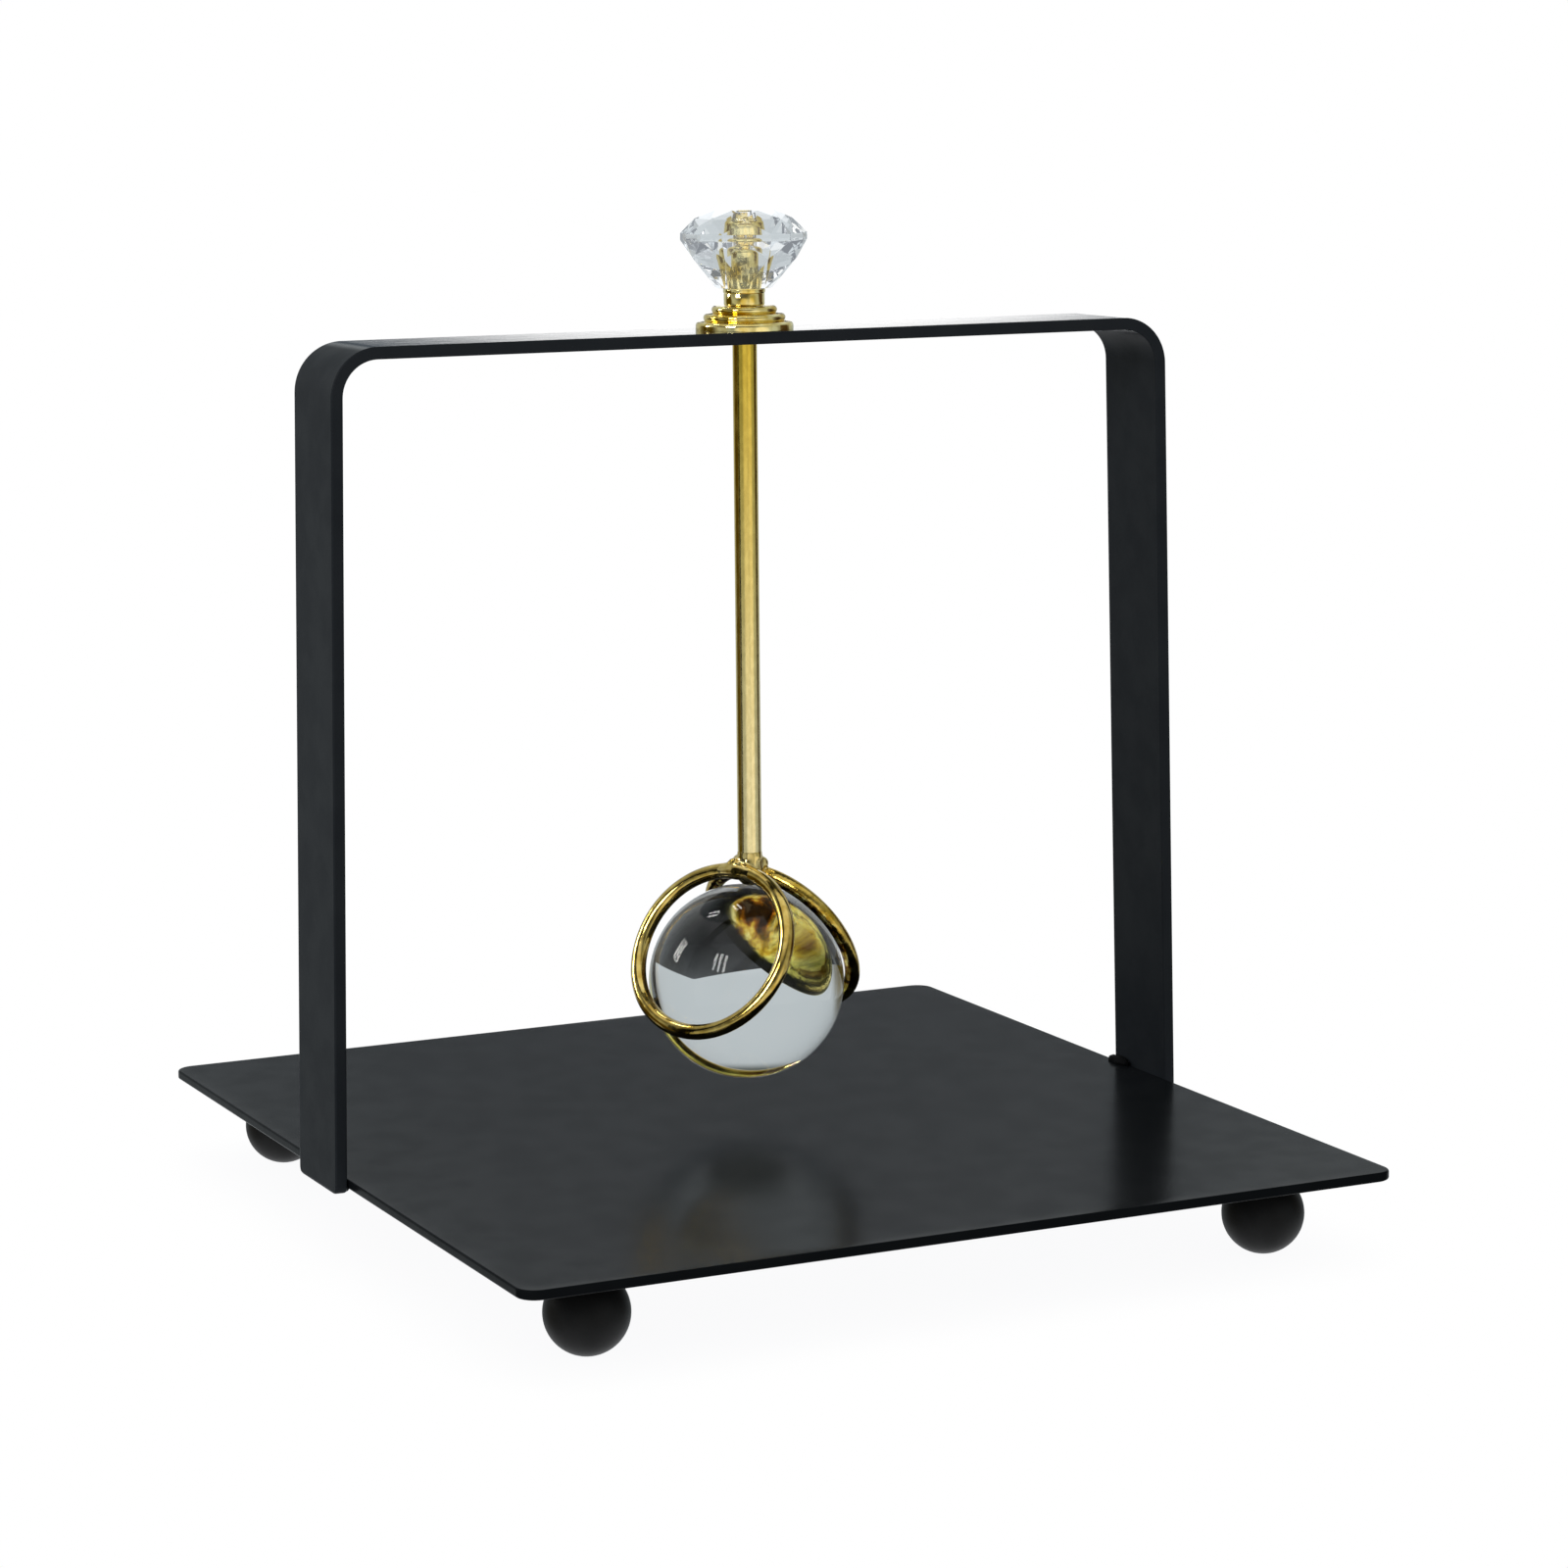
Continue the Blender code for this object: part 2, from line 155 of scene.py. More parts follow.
REFLECTED_PATCHES = (
    (180, 32, 10, 20, (1.05, 1.10, 1.12)),
    (179, 8, 5, 12, (0.11, 0.13, 0.15)),
    (180, -2, 5, 8, (1.5, 1.5, 1.5)),
)
# Windows: azimuth and elevation as above, width and height in metres, brightness and panes
WINDOWS = (
    (101, 23, 0.26, 0.42, 24, 3),
    (35, 30, 0.42, 0.46, 24, 3),
    (125, 58, 0.22, 0.22, 14, 2),
    (160, 70, 0.16, 0.22, 14, 2),
)
WINDOW_BAR = 0.5  # share of each pane's width that is its dark bar
WINDOW_DISTANCE = 1.3


# ---------------------------------------------------------------- mesh tools

def arc(centre, radius, start, end, steps):
    """Points along an arc in a plane; angles in degrees, from the first axis to the second."""
    points = []
    for i in range(steps + 1):
        angle = math.radians(start + (end - start) * i / steps)
        points.append((centre[0] + radius * math.cos(angle), centre[1] + radius * math.sin(angle)))
    return points


def rounded_rectangle(width, depth, radius, steps):
    """Outline of a rectangle round the origin, its corners rounded in so many steps each."""
    points = []
    for quarter, (sx, sy) in enumerate(((1, 1), (-1, 1), (-1, -1), (1, -1))):
        centre = (sx * (width / 2 - radius), sy * (depth / 2 - radius))
        points += arc(centre, radius, 90 * quarter, 90 * quarter + 90, steps)
    return points


def loft(rings, closed=False):
    """Skin over rings of points; the ends are capped, or joined to each other if closed."""
    bm = bmesh.new()
    rows = [[bm.verts.new(p) for p in ring] for ring in rings]
    pairs = list(zip(rows, rows[1:]))
    if closed:
        pairs.append((rows[-1], rows[0]))
    for a, b in pairs:
        for i in range(len(a)):
            j = (i + 1) % len(a)
            bm.faces.new((a[i], a[j], b[j], b[i]))
    if not closed:
        bm.faces.new(rows[0])
        bm.faces.new(rows[-1])
    return bm


def turned(profile, sides):
    """Spin a profile of (radius, height) points round Z, closing it if it is off the axis."""
    bm = bmesh.new()
    verts = [bm.verts.new((r, 0, z)) for r, z in profile]
    edges = [bm.edges.new(pair) for pair in zip(verts, verts[1:])]
    if profile[0][0] > SAME_POINT:
        edges.append(bm.edges.new((verts[-1], verts[0])))
    bmesh.ops.spin(bm, geom=verts + edges, axis=(0, 0, 1), cent=(0, 0, 0),
                   steps=sides, angle=2 * math.pi)
    bmesh.ops.remove_doubles(bm, verts=bm.verts, dist=SAME_POINT)
    return bm


def new_object(name, bm, smooth=40):
    """Object of a mesh, shaded smooth wherever its faces meet at less than the given angle."""
    bmesh.ops.recalc_face_normals(bm, faces=bm.faces)
    mesh = bpy.data.meshes.new(name)
    bm.to_mesh(mesh)
    bm.free()
    if smooth:
        mesh.shade_smooth()
        mesh.set_sharp_from_angle(angle=math.radians(smooth))
    obj = bpy.data.objects.new(name, mesh)
    bpy.context.scene.collection.objects.link(obj)
    return obj


def apply_modifiers(obj):
    """Keep the mesh that the modifiers make, without the modifiers."""
    depsgraph = bpy.context.evaluated_depsgraph_get()
    made = bpy.data.meshes.new_from_object(obj.evaluated_get(depsgraph))
    obj.modifiers.clear()
    obj.data = made


def subtract(obj, cutter):
    """Cut one object's shape out of another, and remove the cutter."""
    difference = obj.modifiers.new("cut", "BOOLEAN")
    difference.operation = "DIFFERENCE"
    difference.solver = "EXACT"
    difference.object = cutter
    apply_modifiers(obj)
    bpy.data.objects.remove(cutter)


def flatten_normals(obj):
    """Shade flat faces flat and leave the rounding to the narrow faces between them."""
    weighted = obj.modifiers.new("normals", "WEIGHTED_NORMAL")
    weighted.keep_sharp = True
    weighted.weight = 100
    apply_modifiers(obj)


def finish_piece(obj, body, slot, nodes, *materials):
    """Give the piece its materials and hang it on its body in place of the CAD nodes."""
    obj.data.materials.clear()
    for mat in materials:
        obj.data.materials.append(mat)
    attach(obj, body)
    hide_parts(*nodes)
    return obj


# ---------------------------------------------------------------- material tools

class Finish:
    """A material under construction: its node tree and short ways to add to it."""

    def __init__(self, name):
        self.material = bpy.data.materials.new(name)
        self.material.use_nodes = True
        self.tree = self.material.node_tree
        self.shader = self.tree.nodes["Principled BSDF"]
        self.place = self.node("ShaderNodeTexCoord").outputs["Object"]

    def node(self, kind, **settings):
        """Add a node, with its settings."""
        made = self.tree.nodes.new(kind)
        for key, value in settings.items():
            setattr(made, key, value)
        return made

    def set(self, **values):
        """Set the shader's own sockets; an underscore stands for a space."""
        for key, value in values.items():
            self.shader.inputs[key.replace("_", " ")].default_value = value

    def link(self, output, socket):
        """Drive one of the shader's sockets from a node."""
        self.tree.links.new(output, self.shader.inputs[socket])

    def noise(self, size, detail=3.0, stretch=(1, 1, 1)):
        """Noise whose lumps are about the given size across, stretched along each axis."""
        mapping = self.node("ShaderNodeMapping")
        mapping.inputs["Scale"].default_value = [1 / s for s in stretch]
        self.tree.links.new(self.place, mapping.inputs["Vector"])
        made = self.node("ShaderNodeTexNoise")
        made.inputs["Scale"].default_value = 1 / size
        made.inputs["Detail"].default_value = detail
        self.tree.links.new(mapping.outputs["Vector"], made.inputs["Vector"])
        return made.outputs["Fac"]

    def span(self, value, low, high, to_low, to_high):
        """Carry a value from one range over to another, without going past its ends."""
        made = self.node("ShaderNodeMapRange", interpolation_type="SMOOTHSTEP")
        for key, number in zip(("From Min", "From Max", "To Min", "To Max"),
                               (low, high, to_low, to_high)):
            made.inputs[key].default_value = number
        self.tree.links.new(value, made.inputs["Value"])
        return made.outputs["Result"]

    def ramp(self, value, *stops):
        """Colours along a value; each stop is a position and a colour."""
        made = self.node("ShaderNodeValToRGB")
        points = made.color_ramp.elements
        while len(points) < len(stops):
            points.new(0.5)
        for point, (position, colour) in zip(points, stops):
            point.position = position
            point.color = (*colour, 1)
        self.tree.links.new(value, made.inputs["Fac"])
        return made.outputs["Color"]

    def blend(self, factor, first, second, mode="MIX"):
        """Mix two colours, or lay the second over the first in another mode; None is in full."""
        made = self.node("ShaderNodeMix", data_type="RGBA", blend_type=mode)
        if factor is None:
            made.inputs["Factor"].default_value = 1
        else:
            self.tree.links.new(factor, made.inputs["Factor"])
        self.tree.links.new(first, made.inputs[MIX_FIRST])
        self.tree.links.new(second, made.inputs[MIX_SECOND])
        return made.outputs[MIXED]

    def bump(self, height, depth, normal=None):
        """Relief of a given depth, on top of another relief if one is given."""
        made = self.node("ShaderNodeBump")
        made.inputs["Distance"].default_value = depth
        self.tree.links.new(height, made.inputs["Height"])
        if normal:
            self.tree.links.new(normal, made.inputs["Normal"])
        return made.outputs["Normal"]


# ---------------------------------------------------------------- materials

def powder_coat(name, dark, light, roughness, shine, glare=0.0, grazing=(0.8, 0.93),
                specks=False):
    """Satin black powder coat: faintly cloudy tone, fine orange peel and a low shine.

    The glare is the shine that the coat gains where it is seen edge-on, and the grazing range
    is how nearly edge-on: 0 is face-on and 1 edge-on.
    """
    coat = Finish(name)
    cloud = coat.noise(14 * MM, 4)
    fleck = coat.noise(0.5 * MM, 2)
    toned = coat.ramp(cloud, (0.3, dark), (0.7, light))
    grain = coat.ramp(fleck, (0.35, (0.86, 0.86, 0.86)), (0.65, (1, 1, 1)))
    colour = coat.blend(fleck, toned, grain, "MULTIPLY")
    if specks:
        colour = dust(coat, colour)
    coat.link(colour, "Base Color")
    peel = coat.bump(coat.noise(0.9 * MM, 2), 0.012 * MM)
    coat.link(coat.bump(coat.noise(5 * MM, 2), 0.015 * MM, peel), "Normal")
    edge_on = coat.node("ShaderNodeLayerWeight").outputs["Facing"]
    sheen = coat.node("ShaderNodeMath", operation="MULTIPLY")
    coat.tree.links.new(coat.span(edge_on, *grazing, shine, shine + glare), sheen.inputs[0])
    rubbed = coat.noise(7 * MM, 6)
    coat.tree.links.new(coat.span(rubbed, 0.35, 0.65, 0.84, 1.12), sheen.inputs[1])
    coat.link(sheen.outputs["Value"], "Specular IOR Level")
    coat.link(coat.span(edge_on, *grazing, roughness, roughness * (1 - glare)), "Roughness")
    return coat


def dust(coat, colour):
    """A few dark specks caught in the coat."""
    cells = coat.node("ShaderNodeTexVoronoi", feature="F1")
    cells.inputs["Scale"].default_value = 1 / (26 * MM)
    coat.tree.links.new(coat.place, cells.inputs["Vector"])
    spot = coat.span(cells.outputs["Distance"], 0.02, 0.035, 1, 0)
    black = coat.ramp(spot, (0, (1, 1, 1)), (1, (0.05, 0.05, 0.05)))
    return coat.blend(spot, colour, black, "MULTIPLY")


def paint_shade_down(coat, low, high, share):
    """Darken a coat towards its lower end, down to a share of its tone, as painted shade."""
    split = coat.node("ShaderNodeSeparateXYZ")
    coat.tree.links.new(coat.place, split.inputs["Vector"])
    rise = coat.span(split.outputs["Z"], low, high, 0, 1)
    shade = coat.ramp(rise, (0, (share, share, share)), (1, (1, 1, 1)))
    base = coat.shader.inputs["Base Color"]
    coat.link(coat.blend(None, base.links[0].from_socket, shade, "MULTIPLY"), "Base Color")


def gold(name, deep, pale, roughness, waves=0.05 * MM):
    """Gold plating on brass: mottled tone, uneven polish, fine scratches and shallow waves."""
    plating = Finish(name)
    mottle = plating.noise(3.2 * MM, 4)
    plating.link(plating.ramp(mottle, (0.35, deep), (0.65, pale)), "Base Color")
    polish = plating.noise(1.6 * MM, 3)
    plating.link(plating.span(polish, 0.35, 0.7, roughness, roughness + 0.1), "Roughness")
    marks = plating.bump(plating.noise(0.35 * MM, 2), 0.004 * MM)
    plating.link(plating.bump(plating.noise(3 * MM, 2), waves, marks), "Normal")
    plating.set(Metallic=1.0)
    return plating


def lacquer(plating):
    """Clear lacquer over the plating, a little soft."""
    plating.set(Coat_Weight=0.8, Coat_IOR=1.5, Coat_Roughness=0.06)


def swirls_with_painted_highlights(plating):
    """Swirled tones where the rear ring runs close to the ball, browner further up; the pale swirls
    are painted highlights.
    """
    reach = plating.node("ShaderNodeVectorMath", operation="DISTANCE")
    plating.tree.links.new(plating.place, reach.inputs[0])
    reach.inputs[1].default_value = BALL_CENTRE
    near = BALL_RADIUS + 1.7 * MM
    far = BALL_RADIUS + 3.1 * MM
    mask = plating.span(reach.outputs["Value"], near, far, 1, 0)
    swirl = plating.noise(1.5 * MM, 5)
    # The pale stops of these swirls are painted highlights
    brown = plating.ramp(swirl, (0.42, (0.02, 0.008, 0.001)), (0.49, (0.26, 0.09, 0.004)),
                         (0.54, (0.62, 0.42, 0.04)), (0.60, (0.85, 0.76, 0.28)))
    green = plating.ramp(swirl, (0.38, (0.34, 0.15, 0.006)), (0.46, (0.78, 0.54, 0.04)),
                         (0.53, (0.95, 0.86, 0.20)), (0.62, (0.55, 0.52, 0.10)))
    split = plating.node("ShaderNodeSeparateXYZ")
    plating.tree.links.new(plating.place, split.inputs["Vector"])
    high = plating.span(split.outputs["Z"], SWIRL_TURN - 1 * MM, SWIRL_TURN + 1 * MM, 0, 1)
    painted_swirls = plating.blend(high, green, brown)
    base = plating.shader.inputs["Base Color"].links[0].from_socket
    plating.link(plating.blend(mask, base, painted_swirls), "Base Color")
    normal = plating.shader.inputs["Normal"].links[0].from_socket
    plating.link(plating.bump(swirl, 0.12 * MM, normal), "Normal")


def rod_gold():
    """The rod's plating, painted paler towards its lower end as painted light, standing in for the
    brighter reflections there.
    """
    plating = Finish("rod plating with painted light")
    split = plating.node("ShaderNodeSeparateXYZ")
    plating.tree.links.new(plating.place, split.inputs["Vector"])
    height = plating.span(split.outputs["Z"], ROD_LOW.z, ROD_HIGH.z, 0, 1)
    # Painted light: the base colour turns paler towards the lower end and deeper towards the top
    toned = plating.ramp(height, (0.0, (0.90, 0.76, 0.40)), (0.5, (0.80, 0.62, 0.20)),
                         (1.0, (0.66, 0.46, 0.05)))
    streak = (1, 1, 2.5)
    mottle = plating.noise(0.8 * MM, 4, streak)
    shade = plating.ramp(mottle, (0.36, (0.66, 0.62, 0.50)), (0.6, (1, 1, 1)))
    plating.link(plating.blend(mottle, toned, shade, "MULTIPLY"), "Base Color")
    plating.link(plating.span(plating.noise(1.5 * MM, 3, streak), 0.3, 0.7, 0.13, 0.24), "Roughness")
    plating.link(plating.bump(plating.noise(0.4 * MM, 2, streak), 0.008 * MM), "Normal")
    plating.set(Metallic=1.0)
    return plating.material


def glass(name, ior, tint, reflectance, glow=0.0):
    """Clear glass with the faint smudges of handling.

    The reflectance is its share of a full reflection, and the glow is a painted glow, an emission
    that stands in for the light of the white studio that its facets pass on.
    """
    clear = Finish(name)
    smudge = clear.noise(5 * MM, 5)
    clear.link(clear.ramp(smudge, (0.4, tint), (0.7, (1, 1, 1))), "Base Color")
    clear.link(clear.span(smudge, 0.55, 0.8, 0.0, 0.012), "Roughness")
    # The emission is a painted glow, not a lamp
    clear.set(Transmission_Weight=1.0, IOR=ior, Specular_Tint=(reflectance,) * 3 + (1,),
              Emission_Color=(0.84, 0.91, 1.0, 1.0), Emission_Strength=glow)
    return clear.material


# ---------------------------------------------------------------- frame

def plate_sheet(coat):
    """Sheet-steel plate with softened edges; its top sinks a little towards them."""
    width, depth = (PLATE_HIGH - PLATE_LOW).xy
    low, high = PLATE_LOW.z, PLATE_HIGH.z
    rows = [(BED_MARGIN, low)]
    rows += arc((PLATE_EDGE, low + PLATE_EDGE), PLATE_EDGE, 270, 180, 5)
    rows += arc((PLATE_EDGE, high - EDGE_ROLL - PLATE_EDGE), PLATE_EDGE, 180, 90, 5)
    rows += [(BED_MARGIN / 2, high - EDGE_ROLL / 4), (BED_MARGIN, high)]
    rings = []
    for inset, z in rows:
        outline = rounded_rectangle(width - 2 * inset, depth - 2 * inset,
                                    max(PLATE_CORNER - inset, PLATE_EDGE), 8)
        rings.append([(x, y, z) for x, y in outline])
    sheet = new_object("plate_sheet", loft(rings))
    flatten_normals(sheet)
    finish_piece(sheet, "frame", "plate_coat", ["base_plate"], coat)


def leg_line():
    """The middle line of the right leg: its point level with the plate's top, and its slope."""
    foot = Vector((PLATE_HIGH.x + GAP + BAR_THICKNESS / 2, PLATE_HIGH.z))
    rise = ARCH_HIGH.z - BAR_THICKNESS / 2 - PLATE_HIGH.z
    return foot, math.atan2(LEG_LEAN, rise)


def strap_rows():
    """(outer point, inner point, width) along the bar, from the right leg's foot to its middle."""
    foot, lean = leg_line()
    along = Vector((-math.sin(lean), math.cos(lean)))
    inward = Vector((-math.cos(lean), -math.sin(lean)))
    half = BAR_THICKNESS / 2
    bottom = foot + along * ((ARCH_LOW.z - foot.y) / along.y)
    centre_z = ARCH_HIGH.z - half - BEND_RADIUS
    start = foot + inward * BEND_RADIUS
    centre = start + along * ((centre_z - start.y) / along.y)
    rows = []
    for rise, side in arc((LEG_CORNER, 0), LEG_CORNER, 180, 90, 8):
        middle = bottom + along * rise
        width = BAR_WIDTH - 2 * LEG_CORNER + 2 * side
        reach = inward * (half - max(0, BAR_EDGE - rise) / 2)
        rows.append((middle - reach, middle + reach, width))
    lean_degrees = math.degrees(lean)
    outer = arc(centre, BEND_RADIUS + half, lean_degrees, 90, 24)
    inner = arc(centre, BEND_RADIUS - half, lean_degrees, 90, 24)
    rows += [(Vector(a), Vector(b), BAR_WIDTH) for a, b in zip(outer, inner)]
    return rows


def strap_ring(outer, inner, width):
    """Cross-section of the bar, with its long edges rounded."""
    middle = (outer + inner) / 2
    through = outer - inner
    outline = rounded_rectangle(through.length, width, BAR_EDGE, 4)
    through = through.normalized()
    points = []
    for across, along in outline:
        spot = middle + through * across
        points.append((spot.x, along, spot.y))
    return points


def hole_cutter():
    """Rod hole with a small chamfer where it meets the bar's two faces."""
    top = ARCH_HIGH.z
    under = top - BAR_THICKNESS
    past = 1 * MM
    wide = ROD_HOLE_RADIUS + HOLE_CHAMFER + past
    profile = [(0, under - past), (wide, under - past), (ROD_HOLE_RADIUS, under + HOLE_CHAMFER)]
    profile += [(ROD_HOLE_RADIUS, top - HOLE_CHAMFER), (wide, top + past), (0, top + past)]
    return new_object("hole_cutter", turned(profile, 64))


def arch_strap(outer_coat, inner_shade_coat, front_shade_coat):
    """Flat bar bent to an arch; the faces that look into it or to the front get darker copies of its
    coat, as painted shade.
    """
    right = strap_rows()
    left = [(Vector((-a.x, a.y)), Vector((-b.x, b.y)), width) for a, b, width in reversed(right)]
    strap = new_object("arch_strap", loft([strap_ring(*row) for row in right + left]))
    subtract(strap, hole_cutter())
    middle = Vector((0, 0, ARCH_HIGH.z / 2))
    # Painted shade: faces that look to the front take the darkest coat, faces that look into the
    # arch a darker one
    for face in strap.data.polygons:
        if face.normal.y < -0.5:
            face.material_index = 2
        elif abs(face.normal.y) < 0.5 and face.normal.dot(middle - face.center) > 0.02:
            face.material_index = 1
        else:
            face.material_index = 0
    flatten_normals(strap)
    finish_piece(strap, "frame", "arch_coat", ["arch_bar"], outer_coat, inner_shade_coat, front_shade_coat)


def weld_bead(side, name, coat):
    """Rippled bead under the plate, with the weld that shows in the seam beside the leg."""
    low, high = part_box(name)
    length = high.y - low.y
    size = high.z - low.z
    ripple_length, ripple_depth = 1.1 * MM, 0.1
    end_size, taper = 0.35, 4
    steps = 60
    seam_in, seam_out = PLATE_HIGH.x - 0.1 * MM, PLATE_HIGH.x + 0.35 * MM
    seam_top = PLATE_HIGH.z - 0.5 * MM
    under = high.z + GAP
    rings = []
    for i in range(steps + 1):
        y = low.y + length * i / steps
        ends = min(1, end_size + taper * min(i, steps - i) / steps)
        ripple = 1 - ripple_depth * abs(math.sin(math.pi * y / ripple_length))
        reach = size * ends * ripple
        section = [(seam_out, seam_top), (seam_in, seam_top), (seam_in, under + 0.05 * MM)]
        section += arc((PLATE_HIGH.x + 0.1 * MM, under), reach + 0.1 * MM, 180, 270, 8)
        section += [(seam_out, under - reach)]
        rings.append([(side * x, y, z) for x, z in section])
    bead = new_object(name.replace("_leg_weld", "_weld_bead"), loft(rings))
    finish_piece(bead, "frame", "arch_coat", [name], coat)


def tack_drop(side, name, coat):
    """Uneven bead of weld in the corner between the plate and the leg."""
    low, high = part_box(name)
    middle = (low + high) / 2
    reach = (high - low) / 2
    unevenness, lumps = 0.14, 2.3
    towards_leg, bluntness = 0.35, 0.8
    bm = bmesh.new()
    bmesh.ops.create_icosphere(bm, subdivisions=4, radius=1)
    for vert in bm.verts:
        lump = 1 + unevenness * noise.noise(vert.co * lumps + middle / MM)
        x, y, z = vert.co * lump
        x += towards_leg * side
        y = math.copysign(abs(y) ** bluntness, y)
        vert.co = (middle.x + x * reach.x, middle.y + y * reach.y, low.z + z * 2 * reach.z)
    drop = new_object(name.replace("_leg_tack", "_tack_drop"), bm, 180)
    finish_piece(drop, "frame", "arch_coat", [name], coat)


def ball_foot(row, column, coat):
    """Turned ball on its welded neck."""
    low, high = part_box(f"foot_{row}_{column}")
    radius = (high.x - low.x) / 2
    centre_z = math.sqrt(radius ** 2 - FOOT_FLAT ** 2)
    under = PLATE_LOW.z + TOUCH
    start = -math.degrees(math.acos(FOOT_FLAT / radius))
    stop = math.degrees(math.acos(FOOT_NECK / radius))
    ball = arc((0, centre_z), radius, start, stop, 28)
    neck_z = ball[-1][1]
    fillet = [(FOOT_NECK - 0.12 * MM, neck_z + 0.25 * (under - neck_z)),
              (FOOT_NECK - 0.05 * MM, neck_z + 0.55 * (under - neck_z)),
              (FOOT_NECK + 0.15 * MM, neck_z + 0.8 * (under - neck_z)),
              (FOOT_FLARE, under)]
    profile = [(0, 0)] + ball + fillet + [(0, under)]
    foot = new_object(f"ball_foot_{row}_{column}", turned(profile, 64), 50)
    foot.location = ((low.x + high.x) / 2, (low.y + high.y) / 2, 0)
    nodes = [f"foot_{row}_{column}", f"foot_weld_{row}_{column}"]
    finish_piece(foot, "frame", "foot_coat", nodes, coat)


# ---------------------------------------------------------------- lifting weight

def rod(plating):
    """Round rod with its ends broken, run a little way down into the brazing."""
    low, high = ROD_LOW.z - 0.5 * MM, ROD_HIGH.z
    edge = 0.2 * MM
    profile = [(0, low), (ROD_RADIUS - edge, low), (ROD_RADIUS, low + edge)]
    profile += [(ROD_RADIUS, high - edge), (ROD_RADIUS - edge, high), (0, high)]
    made = new_object("plated_rod", turned(profile, 64))
    finish_piece(made, "weight", "rod_gold", ["lift_rod"], plating)


def flange(plating):
    """Rosette of three rounded steps; the lowest stands on its edge, the others on a thin groove."""
    hole = ROD_RADIUS + GAP
    bottom = ARCH_HIGH.z + TOUCH
    step = (FLANGE_TOP - bottom) / len(FLANGE_RADII)
    profile = [(hole, bottom)]
    for level, radius in enumerate(FLANGE_RADII):
        base = bottom + level * step
        half = step / 2
        start = -50 if level else 0
        if not level:
            profile.append((radius, base))
        profile += arc((radius - half, base + half), half, start, 90, 12)
    profile.append((hole, FLANGE_TOP - TOUCH))
    made = new_object("stepped_flange", turned(profile, 96), 60)
    finish_piece(made, "lift", "knob_gold", ["knob_flange"], plating)


def ferrule(plating):
    """Neck with a collar under the crystal and a spigot inside it; bored for rod and stud."""
    low = FLANGE_TOP + TOUCH
    shoulder = CRYSTAL_LOW.z - TOUCH
    top = FERRULE_HIGH.z
    collar = 1.1 * MM
    waist = FERRULE_RADIUS - 0.12 * MM
    edge = 0.35 * MM
    rod_bore = (ROD_RADIUS + GAP, ROD_HIGH.z + GAP)
    stud_bore = (STUD_RADIUS, STUD_LOW.z - GAP)
    profile = [(0, rod_bore[1]), rod_bore, (rod_bore[0], low)]
    profile += arc((waist - edge, low + edge), edge, -90, 0, 5)
    profile += [(waist, shoulder - collar - 0.1 * MM), (waist - 0.05 * MM, shoulder - collar)]
    profile += arc((FERRULE_RADIUS - edge, shoulder - collar + edge), edge, -60, 0, 5)
    profile += arc((FERRULE_RADIUS - edge, shoulder - edge), edge, 0, 90, 5)
    profile += [(SPIGOT_RADIUS, shoulder)]
    tip = (SPIGOT_RADIUS - SPIGOT_ROUNDING, top - SPIGOT_ROUNDING)
    profile += arc(tip, SPIGOT_ROUNDING, 0, 75, 6)
    profile += [(stud_bore[0], top), stud_bore, (0, stud_bore[1])]
    made = new_object("neck_ferrule", turned(profile, 96))
    finish_piece(made, "weight", "knob_gold", ["knob_ferrule"], plating)


def stud(plating):
    """Stud with turned grooves for its thread."""
    low, high = STUD_LOW.z, STUD_HIGH.z
    depth = 0.3 * MM
    profile = [(0, low), (STUD_RADIUS - depth, low)]
    turns = int((high - low) / THREAD_PITCH)
    for i in range(turns):
        z = low + (i + 0.5) * THREAD_PITCH
        profile += [(STUD_RADIUS, z), (STUD_RADIUS - depth, z + THREAD_PITCH / 2)]
    profile += [(STUD_RADIUS - depth, high), (0, high)]
    made = new_object("threaded_stud", turned(profile, 64), 25)
    finish_piece(made, "weight", "knob_gold", ["knob_stud"], plating)


def facet_ring(bm, radius, height, count, turn):
    """Corners of one ring of the cut crystal, turned by a fraction of a facet."""
    for i in range(count):
        angle = 2 * math.pi * (i + turn) / count
        bm.verts.new((radius * math.cos(angle), radius * math.sin(angle), height))


